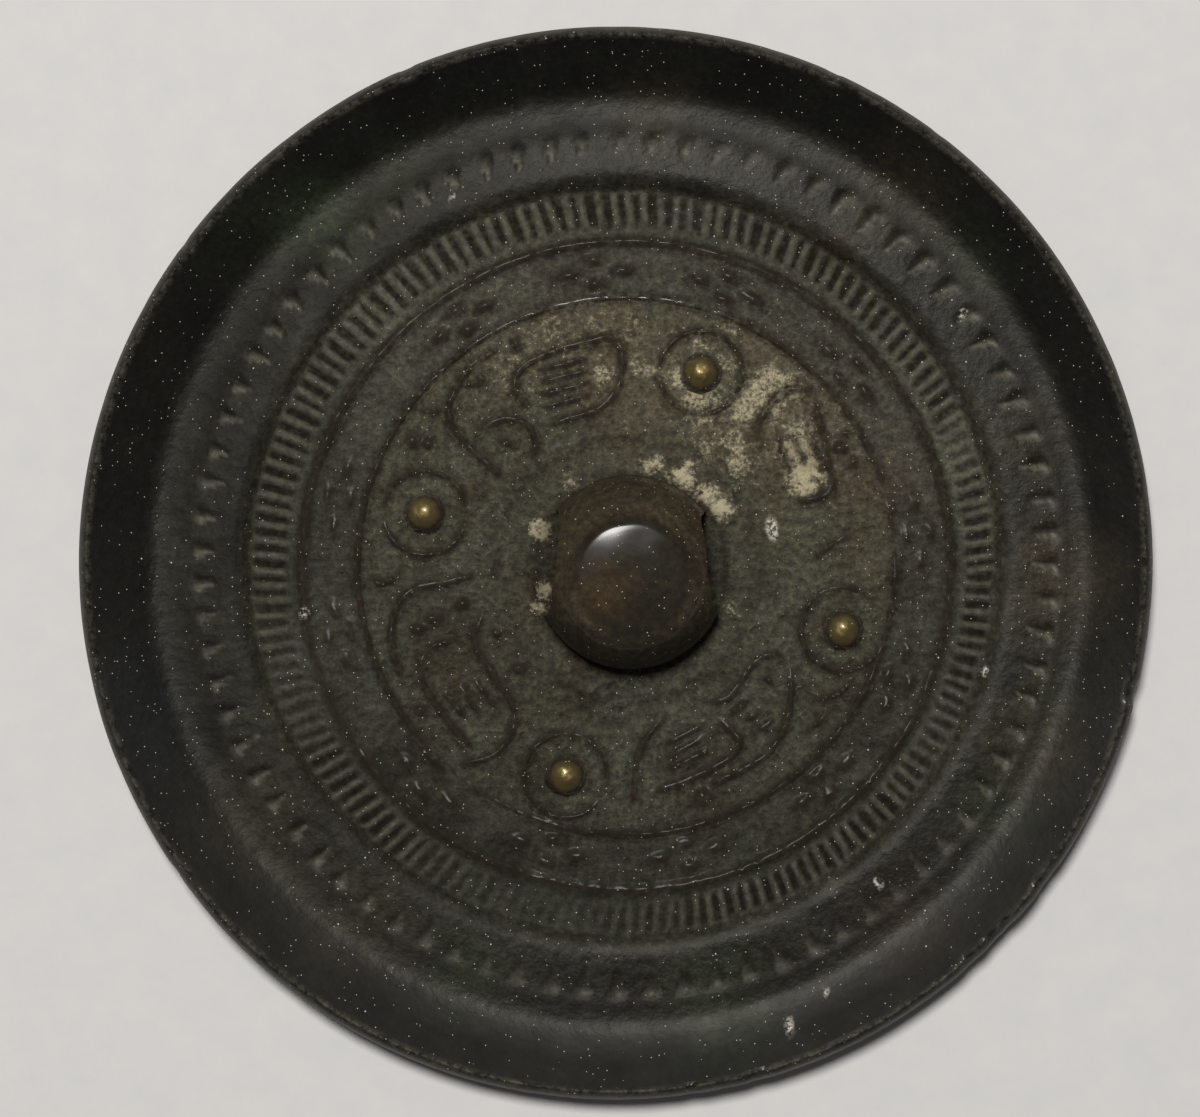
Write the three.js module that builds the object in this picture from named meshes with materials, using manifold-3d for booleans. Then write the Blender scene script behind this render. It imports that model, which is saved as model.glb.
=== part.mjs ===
// Ancient bronze mirror, cast in one piece: a thin round plate with a polished, slightly
// convex face below and a decorated back above. The back has a pierced knob in the middle,
// four nipples with a line-drawn bird between each two, bands of pellets, comb strokes and
// sawteeth, and a high rim. Millimetres, +Z out of the back, +X and +Y across it.

import * as THREE from 'three';
import { mergeVertices } from 'three/addons/utils/BufferGeometryUtils.js';
import Module from 'manifold-3d';

// Plate
const discRadius = 50;
const restRadius = 22;
const faceRise = 0.8;
const fieldThickness = 2.1;
const turnedSides = 72;

// Rim, from the outline inwards
const flankWidth = 0.8;
const flankTuck = 0.6;
const flankDrop = 1.9;
const lipWidth = 0.4;
const lipRise = 2.2;
const lipBevel = 0.12;
const coveWidth = 5.0;
const coveHollow = 0.15;

// Plateau inside the rim, with its row of sunk sawteeth
const plateauWidth = 8.8;
const plateauRise = 1.05;
const plateauCrown = 0.15;
const crownInset = 3.7;
const shoulderWidth = 2.0;
const shoulderDrop = 0.2;
const stepWidth = 0.5;
const toothCount = 79;
const toothLength = 2.5;
const toothWidth = 2.0;
const toothDepth = 0.4;
const toothBack = 0.5;

// Comb band
const combCount = 154;
const combInset = 0.2;
const combLength = 3.3;
const combWidth = 0.8;
const combRise = 0.4;

// Raised rings
const outerRingInset = 1.2;
const outerRingWidth = 0.95;
const outerRingRise = 0.45;
const pelletBandWidth = 5.2;
const innerRingWidth = 0.6;
const innerRingRise = 0.42;
const knobRingGap = 3.3;
const knobRingWidth = 1.6;
const knobRingRise = 0.22;

// Pellets, in diamonds of four between the two rings
const clusterAngles = [6, 41, 70, 96, 124, 167, 194, 228, 255, 282, 312, 337];
const clusterHalfLength = 2.5;
const clusterHalfHeight = 1.1;
const pelletLength = 2.1;
const pelletWidth = 1.1;
const pelletRise = 0.35;
const pelletSides = 5;

// Knob and the arched cord hole through it
const knobRadius = 9.05;
const knobHeight = 8.2;
const knobFlankHeight = 4.2;
const knobShoulderInset = 2.3;
const knobShoulderDrop = 1.45;
const knobTopInset = 3.85;
const knobTopDrop = 0.2;
const knobSides = 40;
const knobSteps = 3;
const holeWidth = 9.3;
const holeHeight = 4.8;
const holeShift = 0.75;
const holeSquareness = 2.5;
const holeSteps = 12;
const holeReach = 4;

// Nipples and the thin circle round each
const nippleRadius = 1.9;
const nippleRise = 1.6;
const nippleCircleRadius = 3.95;
const nippleCircleWidth = 0.6;
const nippleCircleRise = 0.36;
const nippleCircleSides = 28;
const nippleSides = 12;
const nippleRowAngles = [0, 30, 58];

// Raised lines of the figures, and how far every raised thing is rooted in the plate
const lineWidth = 0.75;
const lineRise = 0.42;
const featherWidth = 0.62;
const featherRise = 0.34;
const lineStep = 1.9;
const lineTaper = 0.9;
const lineEndShare = 0.35;
const leastRise = 0.08;
const ovalStep = 24;
const root = 0.3;

// The pattern was pressed a little off the middle of the outline, and the knob's top leans
const outlineCentre = [0, 0];
const coveCentre = [0.5, 0.1];
const shoulderCentre = [0.6, -0.15];
const patternCentre = [1.0, -0.25];
const knobCentre = [1.4, -0.8];
const knobLean = [0.05, -0.75];

// The comb strokes crowd together, by this many degrees at most, towards this angle
const combCrowding = 4;
const combCrowdedAngle = 300;

// Where the cast is worn: [angle, half spread, share lost] in degrees round the pattern
const toothWear = [[75, 5, 0.85], [92, 9, 0.55], [262, 26, 0.45], [318, 20, 0.35]];
const combWear = [[200, 24, 0.6], [250, 30, 0.75], [20, 8, 0.5]];

// The figures are drawn for an inner ring of this radius and follow the ring
const drawnRingRadius = 25.1;
const nipplePlaces = [[7.95, 17.75], [-17.8, 4.65], [-4.65, -19.85], [21.2, -6.2]];
const birds = {
  upperLeft: {
    wing: { at: [-4.35, 17.1], half: [5.2, 3.45], tilt: 14, from: -112, to: 208 },
    feathers: [{ count: 4, start: [-7.0, 18.05], run: [4.1, 1.05], step: [0.1, -1.15] }],
    lines: [
      [[-11.1, 19.8], [-13.5, 18.4], [-15.0, 16.3], [-15.7, 14.2], [-14.6, 11.8], [-10.7, 8.2]],
      [[-17.9, 14.1], [-16.9, 14.15], [-15.7, 14.3]],
      [[-12.6, 12.5], [-10.5, 13.5], [-8.3, 12.9], [-7.4, 11.0], [-7.9, 9.9]],
      [[-14.1, 16.5], [-13.0, 16.6], [-12.0, 16.5]],
    ],
    pellets: [
      [-10.1, 11.2, 1.7, 0.8],
      [-9.3, 20.5, 1.4, 1.9],
      [-18.9, 11.4, 1.5, 1.5],
      [-17.5, 11.1, 1.1, 1.1],
    ],
  },
  upperRight: {
    feathers: [{ count: 3, start: [15.3, 11.6], run: [1.1, -2.8], step: [1.4, 0.4] }],
    lines: [
      [[18.6, 16.15], [16.6, 16.25], [14.7, 15.1], [13.45, 13.3], [13.3, 11.9], [13.55, 10.6]],
      [[18.5, 14.9], [19.1, 12.9], [19.7, 10.6], [20.1, 8.4], [19.6, 6.4], [16.8, 5.6]],
      [[20.6, 12.0], [21.5, 12.1], [22.3, 11.9]],
      [[18.7, 0.5], [20.2, 1.7], [21.9, 2.4]],
    ],
    pellets: [[21.0, 10.7, 1.7, 1.1], [22.2, 9.4, 1.0, 1.4]],
  },
  lowerLeft: {
    feathers: [{ count: 3, start: [-13.0, -11.2], run: [1.8, -2.3], step: [-1.45, -0.45] }],
    lines: [
      [[-13.3, -1.2], [-16.1, -1.85], [-18.9, -2.5], [-20.6, -4.5], [-20.9, -7.6], [-20.0, -10.8]],
      [[-15.1, -7.25], [-17.0, -7.75], [-18.2, -9.3], [-17.9, -11.3], [-16.1, -14.2], [-13.5, -17.3]],
      [
        [-12.4, -4.9], [-13.2, -7.4], [-11.6, -10.2], [-9.7, -13.0],
        [-9.6, -15.6], [-11.4, -17.9], [-14.5, -18.75],
      ],
      [[-18.0, -17.6], [-17.0, -18.7], [-15.8, -19.6]],
      [[-22.9, -1.2], [-21.8, -2.0], [-20.1, -0.8]],
    ],
    pellets: [
      [-14.3, -3.9, 1.5, 1.5],
      [-11.2, -6.5, 1.2, 1.0],
      [-9.0, -9.85, 1.6, 1.2],
      [-18.2, -13.7, 1.2, 1.2],
      [-17.0, -5.2, 2.0, 1.1],
      [-18.4, -6.2, 1.7, 1.0],
    ],
  },
  lowerRight: {
    feathers: [
      { count: 3, start: [4.8, -16.85], run: [3.5, 1.8], step: [0.1, -1.25] },
      { count: 3, start: [10.9, -13.95], run: [1.6, 1.2], step: [1.05, -1.0] },
    ],
    lines: [
      [[8.9, -13.0], [10.4, -12.6], [11.6, -11.2], [13.0, -9.3], [14.4, -8.6], [15.7, -8.9]],
      [[16.35, -10.0], [16.4, -12.2], [15.9, -14.8], [14.6, -17.4], [12.2, -19.1], [9.0, -20.6]],
      [[3.6, -21.35], [6.4, -20.4], [9.2, -19.1], [11.1, -17.8], [11.5, -16.4], [9.9, -14.8]],
      [[4.4, -14.7], [2.9, -16.3], [1.95, -18.6], [1.8, -21.0], [1.4, -22.6]],
      [[17.0, -12.7], [17.5, -11.6], [18.3, -11.8]],
      [[18.9, -12.5], [20.5, -12.4], [22.1, -11.0]],
      [[17.6, -15.9], [18.8, -15.0], [19.9, -13.8]],
    ],
    pellets: [[14.3, -10.95, 0.8, 0.7], [8.3, -21.9, 2.2, 1.7]],
  },
};

// Radii and heights that follow from the sizes above
const lipOuterRadius = discRadius - flankWidth;
const lipInnerRadius = lipOuterRadius - lipWidth;
const coveRadius = lipInnerRadius - coveWidth;
const toothBaseRadius = coveRadius - crownInset;
const stepRadius = coveRadius - plateauWidth;
const combOuterRadius = stepRadius - combInset;
const combInnerRadius = combOuterRadius - combLength;
const outerRingRadius = combInnerRadius - outerRingInset;
const innerRingRadius = outerRingRadius - pelletBandWidth;
const clusterRadius = (outerRingRadius + innerRingRadius) / 2;
const knobRingRadius = knobRadius + knobRingGap;
const plateauTop = fieldThickness + plateauRise;
const crownTop = plateauTop + plateauCrown;
const lipTop = plateauTop + lipRise;
const bottomEdgeRadius = discRadius - flankTuck;

const wasm = await Module();
wasm.setup();

const radians = THREE.MathUtils.degToRad;

// Makes a solid from a closed geometry, without the faces that have shrunk to a line
function toSolid(geometry) {
  geometry.deleteAttribute('normal');
  geometry.deleteAttribute('uv');
  const merged = mergeVertices(geometry, 1e-5);
  const kept = [];
  for (let i = 0; i < merged.index.count; i += 3) {
    const face = [0, 1, 2].map((corner) => merged.index.getX(i + corner));
    if (new Set(face).size === 3) {
      kept.push(...face);
    }
  }
  return new wasm.Manifold(new wasm.Mesh({
    numProp: 3,
    vertProperties: new Float32Array(merged.attributes.position.array),
    triVerts: new Uint32Array(kept),
  }));
}

function toGeometry(solid) {
  const mesh = solid.getMesh();
  const geometry = new THREE.BufferGeometry();
  geometry.setAttribute('position', new THREE.BufferAttribute(mesh.vertProperties, 3));
  geometry.setIndex(new THREE.BufferAttribute(mesh.triVerts, 1));
  geometry.computeVertexNormals();
  return geometry;
}

// Moves every vertex of a geometry by a function of its place
function reshape(geometry, move) {
  const position = geometry.attributes.position;
  const point = new THREE.Vector3();
  for (let i = 0; i < position.count; i += 1) {
    move(point.fromBufferAttribute(position, i), i);
    position.setXYZ(i, point.x, point.y, point.z);
  }
  return geometry;
}

// Turns rows of [radius, height, centre] about +Z, each row about its own centre
function turned(rows, sides) {
  const profile = rows.map(([radius, height]) => new THREE.Vector2(radius, height));
  const geometry = new THREE.LatheGeometry(profile, sides);
  geometry.rotateX(Math.PI / 2);
  return reshape(geometry, (point, i) => {
    const centre = rows[i % rows.length][2];
    point.x += centre[0];
    point.y += centre[1];
  });
}

// Share of a row's height that is left at an angle, from its list of worn places
function leftAt(angle, wear) {
  return wear.reduce((left, [middle, spread, loss]) => {
    const away = Math.abs(((angle - middle + 540) % 360) - 180) / spread;
    return away < 1 ? left * (1 - loss * Math.cos(away * Math.PI / 2)) : left;
  }, 1);
}

function polar(centre, radius, angle) {
  const turn = radians(angle);
  return [centre[0] + radius * Math.cos(turn), centre[1] + radius * Math.sin(turn)];
}

// Height of the polished face above its flat spot
function faceHeight(radius) {
  const share = Math.max(0, radius - restRadius) / (bottomEdgeRadius - restRadius);
  return faceRise * share * share;
}

// Three rows that make a raised ring on the field
function ringRows(radius, width, rise, centre) {
  return [
    [radius + width / 2, fieldThickness, centre],
    [radius, fieldThickness + rise, centre],
    [radius - width / 2, fieldThickness, centre],
  ];
}

function plate() {
  const faceMiddle = (restRadius + bottomEdgeRadius) / 2;
  const rows = [
    [0, 0, outlineCentre],
    [restRadius, 0, outlineCentre],
    [faceMiddle, faceHeight(faceMiddle), outlineCentre],
    [bottomEdgeRadius, faceRise, outlineCentre],
    [discRadius, lipTop - flankDrop, outlineCentre],
    [lipOuterRadius, lipTop - lipBevel, outlineCentre],
    [lipOuterRadius - lipWidth / 2, lipTop, outlineCentre],
    [lipInnerRadius, lipTop - lipBevel, outlineCentre],
    [(lipInnerRadius + coveRadius) / 2, (lipTop + plateauTop) / 2 - coveHollow, coveCentre],
    [coveRadius, plateauTop, coveCentre],
    [toothBaseRadius, crownTop, patternCentre],
    [stepRadius + shoulderWidth, crownTop - plateauCrown, shoulderCentre],
    [stepRadius + stepWidth, plateauTop - shoulderDrop, shoulderCentre],
    [stepRadius, fieldThickness, shoulderCentre],
    ...ringRows(outerRingRadius, outerRingWidth, outerRingRise, patternCentre),
    ...ringRows(innerRingRadius, innerRingWidth, innerRingRise, patternCentre),
    ...ringRows(knobRingRadius, knobRingWidth, knobRingRise, patternCentre),
    [0, fieldThickness, patternCentre],
  ];
  return toSolid(turned(rows, turnedSides));
}

// A low pyramid over an oval foot, turned so that its length lies across the given angle
function pellet([x, y], length, width, rise, angle) {
  const geometry = new THREE.ConeGeometry(0.5, 1, pelletSides);
  geometry.rotateX(Math.PI / 2);
  geometry.translate(0, 0, 0.5);
  const spread = (rise + root) / rise;
  geometry.scale(length * spread, width * spread, rise + root);
  geometry.rotateZ(radians(angle));
  geometry.translate(x, y, fieldThickness - root);
  return toSolid(geometry);
}

// One sunk sawtooth, as the body to cut away: its point is towards the middle of the mirror
function sawtooth(angle) {
  const depth = toothDepth * leftAt(angle, toothWear);
  const spread = (depth + root) / depth;
  const geometry = new THREE.ConeGeometry(1, 1, 3);
  geometry.rotateX(-Math.PI / 2);
  geometry.rotateZ(Math.PI / 2);
  geometry.translate(-0.5, 0, 0);
  geometry.scale(toothLength / 1.5 * spread, toothWidth / Math.sqrt(3) * spread, 1);
  reshape(geometry, (point) => {
    const isBottom = point.z < 0;
    point.x = toothBaseRadius + (isBottom ? -toothBack : point.x);
    point.z = isBottom ? crownTop - depth : crownTop + root;
  });
  geometry.rotateZ(radians(angle));
  geometry.translate(patternCentre[0], patternCentre[1], 0);
  return toSolid(geometry);
}

// A raised line of three-sided section along a curve, lower at both of its ends
function ridge(path, width, rise, steps, endShare) {
  const length = path.getLength();
  const bar = new THREE.CylinderGeometry(1, 1, 1, 3, steps);
  const halfFoot = width / 2 * (rise + root) / rise;
  return toSolid(reshape(bar, (point) => {
    const along = THREE.MathUtils.clamp(point.y + 0.5, 0, 1);
    const place = path.getPointAt(along);
    const way = path.getTangentAt(along);
    const fromEnd = Math.min(along, 1 - along) * length;
    const full = Math.min(1, endShare + (1 - endShare) * fromEnd / lineTaper);
    const across = point.x / Math.sin(Math.PI / 3) * halfFoot * full;
    const crest = point.z > 0;
    point.set(
      place.x + way.y * across,
      place.y - way.x * across,
      crest ? fieldThickness + rise * full : fieldThickness - root,
    );
  }));
}

function line(path, width, rise) {
  const steps = Math.max(2, Math.round(path.getLength() / lineStep));
  return ridge(path, width, rise, steps, lineEndShare);
}

// The comb band: short radial strokes of even height, low or lost where the cast is worn
function comb() {
  const strokes = [];
  for (let i = 0; i < combCount; i += 1) {
    const even = 360 * i / combCount;
    const angle = even - combCrowding * Math.sin(radians(even - combCrowdedAngle));
    const rise = combRise * leftAt(angle, combWear);
    if (rise > leastRise) {
      const ends = [combInnerRadius, combOuterRadius].map((radius) => {
        return new THREE.Vector3(...polar(patternCentre, radius, angle), 0);
      });
      strokes.push(ridge(new THREE.LineCurve3(...ends), combWidth, rise, 1, 1));
    }
  }
  return strokes;
}

const figureScale = innerRingRadius / drawnRingRadius;

// A place in the drawing, on the back
function drawn([x, y]) {
  const place = new THREE.Vector3(x - patternCentre[0], y - patternCentre[1], 0);
  place.multiplyScalar(figureScale);
  return place.add(new THREE.Vector3(patternCentre[0], patternCentre[1], 0));
}

function throughPoints(points) {
  return new THREE.CatmullRomCurve3(points.map(drawn), false, 'centripetal');
}

// Points along part of a tilted oval
function ovalPoints({ at, half, tilt, from, to }) {
  const count = Math.ceil((to - from) / ovalStep);
  return Array.from({ length: count + 1 }, (_, i) => {
    const turn = radians(from + (to - from) * i / count);
    const along = half[0] * Math.cos(turn);
    const across = half[1] * Math.sin(turn);
    const lean = radians(tilt);
    return [
      at[0] + along * Math.cos(lean) - across * Math.sin(lean),
      at[1] + along * Math.sin(lean) + across * Math.cos(lean),
    ];
  });
}

function bird({ wing, feathers, lines, pellets }) {
  const solids = lines.map((points) => line(throughPoints(points), lineWidth, lineRise));
  if (wing) {
    solids.push(line(throughPoints(ovalPoints(wing)), lineWidth, lineRise));
  }
  for (const { count, start, run, step } of feathers) {
    for (let i = 0; i < count; i += 1) {
      const from = [start[0] + step[0] * i, start[1] + step[1] * i];
      const to = [from[0] + run[0], from[1] + run[1]];
      solids.push(line(new THREE.LineCurve3(drawn(from), drawn(to)), featherWidth, featherRise));
    }
  }
  for (const [x, y, length, width] of pellets) {
    const place = drawn([x, y]);
    solids.push(pellet([place.x, place.y], length * figureScale, width * figureScale, lineRise, 0));
  }
  return solids;
}

// Four pellets in a diamond whose long way runs round the band
function cluster(angle) {
  const slant = THREE.MathUtils.radToDeg(clusterHalfLength / clusterRadius);
  const places = [
    [clusterRadius + clusterHalfHeight, 0],
    [clusterRadius - clusterHalfHeight, 0],
    [clusterRadius, slant],
    [clusterRadius, -slant],
  ];
  return places.map(([radius, turn]) => {
    const place = polar(patternCentre, radius, angle + turn);
    return pellet(place, pelletLength, pelletWidth, pelletRise, angle + turn + 90);
  });
}

function nipple(place) {
  const at = drawn(place);
  const centre = [at.x, at.y];
  const foot = fieldThickness - root;
  const dome = nippleRowAngles.map((angle) => [
    nippleRadius * Math.cos(radians(angle)),
    fieldThickness + nippleRise * Math.sin(radians(angle)),
    centre,
  ]);
  const button = [
    [0, foot, centre],
    [nippleRadius, foot, centre],
    ...dome,
    [0, fieldThickness + nippleRise, centre],
  ];
  const half = nippleCircleWidth / 2;
  const circle = [
    [nippleCircleRadius - half, foot, centre],
    [nippleCircleRadius + half, foot, centre],
    [nippleCircleRadius + half, fieldThickness, centre],
    [nippleCircleRadius, fieldThickness + nippleCircleRise, centre],
    [nippleCircleRadius - half, fieldThickness, centre],
    [nippleCircleRadius - half, foot, centre],
  ];
  return [toSolid(turned(button, nippleSides)), toSolid(turned(circle, nippleCircleSides))];
}

// The arch of the cord hole as a bar along +X, its floor on the field
function cordHole() {
  const arch = new THREE.Shape();
  arch.moveTo(-holeWidth / 2, -root * 2);
  arch.lineTo(holeWidth / 2, -root * 2);
  const power = 2 / holeSquareness;
  for (let i = 0; i <= holeSteps; i += 1) {
    const turn = Math.PI * i / holeSteps;
    const across = Math.sign(Math.cos(turn)) * Math.abs(Math.cos(turn)) ** power;
    arch.lineTo(holeWidth / 2 * across, holeHeight * Math.sin(turn) ** power);
  }
  arch.closePath();
  const length = (knobRadius + holeReach) * 2;
  const bar = new THREE.ExtrudeGeometry(arch, { depth: length, bevelEnabled: false });
  bar.center();
  bar.rotateX(Math.PI / 2);
  bar.rotateZ(Math.PI / 2);
  bar.translate(knobCentre[0], knobCentre[1] + holeShift, fieldThickness + holeHeight / 2 - root);
  return toSolid(bar);
}

// The knob: steep flanks, a tight shoulder, a flat dome on top, and the hole from left to right
function knob() {
  const foot = new THREE.Vector2(knobRadius, 0);
  const bend = new THREE.Vector2(knobRadius, knobFlankHeight);
  const shoulder = new THREE.Vector2(knobRadius - knobShoulderInset, knobHeight - knobShoulderDrop);
  const topEdge = new THREE.Vector2(knobRadius - knobTopInset, knobHeight - knobTopDrop);
  const crown = new THREE.Vector2(0, knobHeight);
  const flank = new THREE.QuadraticBezierCurve(foot, bend, shoulder);
  const top = new THREE.QuadraticBezierCurve(topEdge, new THREE.Vector2(topEdge.x / 2, knobHeight), crown);
  const outline = [...flank.getPoints(knobSteps), ...top.getPoints(knobSteps)];
  const rows = [
    [0, fieldThickness - root, knobCentre],
    [knobRadius, fieldThickness - root, knobCentre],
    ...outline.map(({ x, y }) => {
      const lean = knobLean.map((shift) => shift * y / knobHeight);
      return [x, fieldThickness + y, [knobCentre[0] + lean[0], knobCentre[1] + lean[1]]];
    }),
  ];
  return toSolid(turned(rows, knobSides)).subtract(cordHole());
}

function mirror() {
  const raised = [
    knob(),
    ...comb(),
    ...clusterAngles.flatMap(cluster),
    ...nipplePlaces.flatMap(nipple),
    ...Object.values(birds).flatMap(bird),
  ];
  const teeth = Array.from({ length: toothCount }, (_, i) => sawtooth(360 * i / toothCount));
  const rim = teeth.reduce((whole, tooth) => whole.subtract(tooth), plate());
  const solid = raised.reduce((whole, piece) => whole.add(piece), rim);
  const bronze = new THREE.MeshStandardMaterial({ color: 0x3b352a, roughness: 0.55, metalness: 0.8 });
  const mesh = new THREE.Mesh(toGeometry(solid), bronze);
  mesh.name = 'mirror';
  return mesh;
}

const part = new THREE.Group();
part.add(mirror());

export default part;
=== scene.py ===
# The looks of an ancient bronze mirror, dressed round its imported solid. Shapes are worked out in
# millimetres, with +Z up out of the decorated back, and become metres where a mesh is made.

import math

import bpy
import numpy as np
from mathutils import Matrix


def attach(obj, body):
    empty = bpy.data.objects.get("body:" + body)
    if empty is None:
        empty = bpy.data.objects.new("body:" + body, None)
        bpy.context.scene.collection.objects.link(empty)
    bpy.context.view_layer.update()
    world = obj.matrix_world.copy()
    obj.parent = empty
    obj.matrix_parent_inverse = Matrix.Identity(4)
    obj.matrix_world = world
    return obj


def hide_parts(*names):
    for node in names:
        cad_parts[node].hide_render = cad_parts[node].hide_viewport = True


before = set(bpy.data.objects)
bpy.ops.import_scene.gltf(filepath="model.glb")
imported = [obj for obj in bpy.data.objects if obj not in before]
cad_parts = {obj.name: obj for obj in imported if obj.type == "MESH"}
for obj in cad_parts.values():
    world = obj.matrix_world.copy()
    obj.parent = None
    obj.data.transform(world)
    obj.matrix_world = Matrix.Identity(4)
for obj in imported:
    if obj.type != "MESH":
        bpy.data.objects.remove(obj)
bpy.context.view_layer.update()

MM = 0.001

# Plate and rim, close to the solid's, with a flatter plateau
DISC_RADIUS = 50.0
REST_RADIUS = 22.0
FACE_RISE = 0.8
FIELD_TOP = 2.1
BOTTOM_EDGE_RADIUS = 49.4
FLANK_TOP = 3.45
LIP_OUTER_RADIUS = 49.2
LIP_INNER_RADIUS = 48.8
LIP_TOP = 5.35
LIP_BEVEL = 0.12
COVE_RADIUS = 43.2
PLATEAU_TOP = 3.12
PLATEAU_BEND = (39.6, 3.16)
PLATEAU_FLAT_RADIUS = 41.6
SHOULDER_RADIUS = 36.5
SHOULDER_TOP = 3.34
STEP_BEND = (35.75, 3.2)
STEP_TOP_RADIUS = 35.3
STEP_TOP = 2.95
STEP_RADIUS = 34.65
CORNER_ROUNDING = 0.28
COVE_ROUNDING = 0.6
LIP_ROUNDING = 0.15
TOOTH_BASE_RADIUS = 40.1

# Centres of the outline, the cove and the pattern, and of the knob's foot and top
COVE_CENTRE = (0.5, 0.1)
SHOULDER_CENTRE = (0.6, 0.0)
PATTERN_CENTRE = (1.0, -0.25)
KNOB_CENTRE = (1.4, -0.8)
KNOB_LEAN = (0.05, -0.75)

# Rings, comb and sawteeth
OUTER_RING = dict(radius=30.3, width=1.2, rise=0.45)
INNER_RING = dict(radius=25.1, width=0.85, rise=0.42)
KNOB_RING = dict(radius=12.35, width=1.7, rise=0.2, dark=0.15)
EDGE_RING = dict(radius=40.9, width=0.9, rise=0.05, dark=0.0)
COMB_COUNT = 154
COMB_CROWDING = 4.0
COMB_CROWDED_ANGLE = 300.0
COMB_INNER_RADIUS = 31.5
COMB_OUTER_RADIUS = 34.75
COMB_WIDTH = 1.25
COMB_RISE = 0.45
TOOTH_COUNT = 79
TOOTH_LENGTH = 2.5
TOOTH_HALF_WIDTH = 1.0
TOOTH_DEPTH = 0.4
TOOTH_WALL = 0.3
TOOTH_VALLEY = 0.25

# Places where the cast is worn: angle, half spread, share lost
OUTER_RING_WEAR = [(205, 30, 0.45), (262, 35, 0.5), (345, 25, 0.35)]
INNER_RING_WEAR = [(15.5, 5, 1.0), (5, 9, 0.7), (235, 32, 0.6)]
COMB_WEAR = [(200, 24, 0.55), (257, 36, 0.9), (20, 8, 0.5), (80, 10, 0.2), (330, 14, 0.3)]
TOOTH_WEAR = [(75, 6, 0.85), (92, 11, 0.55), (250, 30, 0.6), (310, 34, 0.8), (190, 12, 0.3)]

# Diamonds of pellets: angle and how much of them is left
CLUSTERS = {
    6: 0.5, 41: 0.9, 70: 1.0, 96: 1.0, 124: 1.0, 167: 0.55,
    194: 0.5, 228: 0.65, 255: 0.7, 282: 0.75, 312: 0.8, 337: 0.75,
}
CLUSTER_RADIUS = 27.55
CLUSTER_HALF_LENGTH = 2.6
CLUSTER_HALF_HEIGHT = 1.1
PELLET_HALF = (1.3, 0.66)
PELLET_RISE = 0.42

# Nipples, and the worn parts of the thin circle round each
NIPPLE_RADIUS = 1.9
NIPPLE_RISE = 1.6
NIPPLE_CIRCLE = dict(radius=3.9, width=0.75, rise=0.36)
NIPPLES = [
    ((7.95, 17.75), [(180, 26, 0.9), (268, 22, 0.8)]),
    ((-17.8, 4.65), [(180, 40, 0.8), (0, 34, 0.7)]),
    ((-4.65, -19.85), [(330, 46, 0.75), (75, 34, 0.5)]),
    ((21.2, -6.2), [(20, 66, 0.85), (110, 30, 0.5)]),
]

# Knob, its cord hole, and the fillet of soil at its foot
KNOB_RADIUS = 9.05
KNOB_HEIGHT = 8.2
KNOB_FLANK_HEIGHT = 4.2
KNOB_SHOULDER_RADIUS = 6.75
KNOB_SHOULDER_HEIGHT = 6.75
KNOB_TOP_RADIUS = 4.9
KNOB_TOP_HEIGHT = 8.0
KNOB_TOP_BEND = (5.7, 7.89)
HOLE_HALF_WIDTH = 4.65
HOLE_HEIGHT = 4.8
HOLE_CENTRE_Y = -0.05
HOLE_POWER = 0.8
HOLE_FLARE = 1.8
HOLE_SIDES = 26
HOLE_RINGS = 49
KNOB_SIDES = 96
ROOT = 0.3
FILLET_RISE = 0.3
FILLET_WIDTH = 0.7

# Drawn lines, and how much wider the worn sections are than the sharp ones they come from
LINE_RISE = 0.42
FEATHER_WIDTH = 0.9
FEATHER_RISE = 0.36
SKIRT = 0.45
LINE_TAPER = 0.8
RING_SPREAD = 1.4
LINE_SPREAD = 1.45
PELLET_SPREAD = 1.5

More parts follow.
